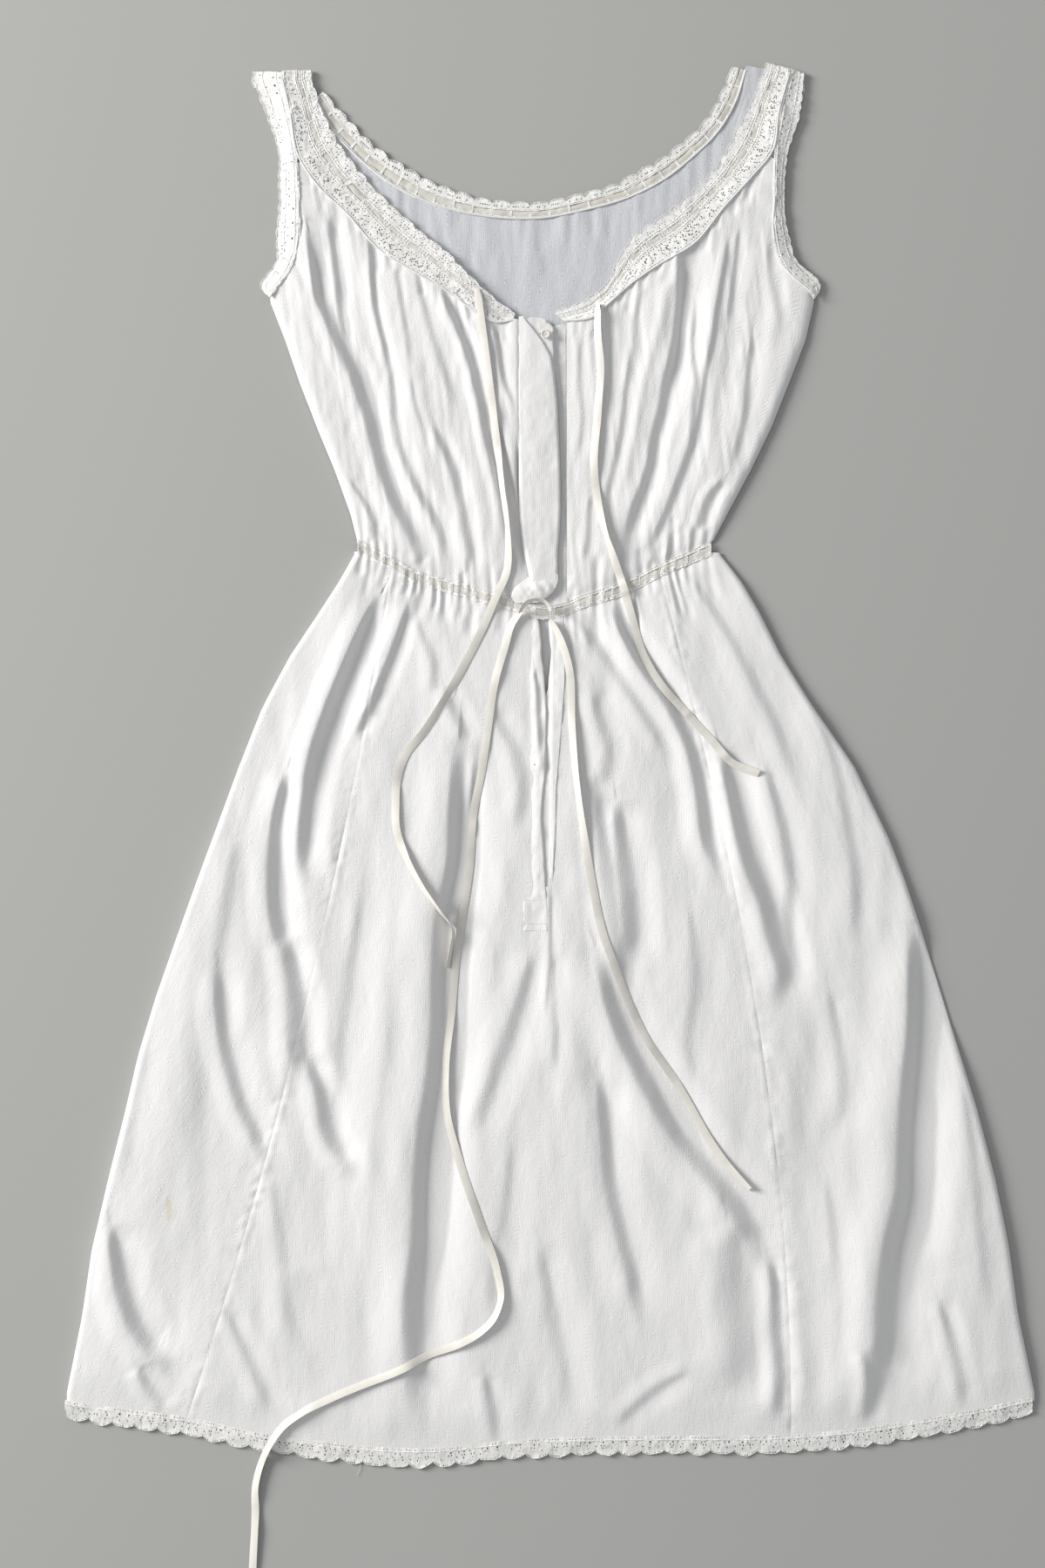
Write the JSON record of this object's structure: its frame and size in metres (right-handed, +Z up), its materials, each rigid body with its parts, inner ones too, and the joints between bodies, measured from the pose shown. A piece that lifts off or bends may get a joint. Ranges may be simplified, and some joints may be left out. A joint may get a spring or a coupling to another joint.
{
  "type": "lace dress",
  "caption": "Sleeveless white cotton dress with lace round its neck, armholes and hem, a ribbon-drawn waist and a buttoned front, laid flat.",
  "frame": {"origin": "middle of the dress's outline on the floor that it lies on, without its loose ribbon ends", "axes": "+Y from the hem to the neck, +Z up from the floor, +X to the right as the front is seen from above"},
  "size_m": [0.7804, 1.2273, 0.0103],
  "materials": {
    "cloth": "lightweight self-striped cotton",
    "lace": "ivory cotton lace",
    "ribbon": "ivory satin",
    "button": "polished white shell"
  },
  "bodies": {
    "root": {"bodice_back": "cloth", "bodice_front_left": "cloth", "bodice_front_right": "cloth", "button_band_over": "cloth", "button_band_under": "cloth", "band_tab": "cloth", "skirt_front": "cloth", "skirt_side_left": "cloth", "skirt_side_right": "cloth", "skirt_back": "cloth", "skirt_band_over": "cloth", "skirt_band_under": "cloth", "neck_lace_left": "lace", "neck_lace_right": "lace", "neck_lace_back": "lace", "armhole_lace_front_left": "lace", "armhole_lace_front_right": "lace", "armhole_lace_back_left": "lace", "armhole_lace_back_right": "lace", "waist_beading_left": "lace", "waist_beading_right": "lace", "waist_beading_back": "lace", "hem_lace_front": "lace", "hem_lace_back": "lace", "ribbon_neck_left": "ribbon", "ribbon_neck_right": "ribbon", "ribbon_neck_back": "ribbon", "ribbon_waist_left": "ribbon", "ribbon_waist_right": "ribbon", "ribbon_loop": "ribbon", "tie_neck_left": "ribbon", "tie_neck_right": "ribbon", "tie_waist_left": "ribbon", "tie_waist_right": "ribbon", "button_neck": "button", "button_skirt": "button"}
  },
  "joints": []
}
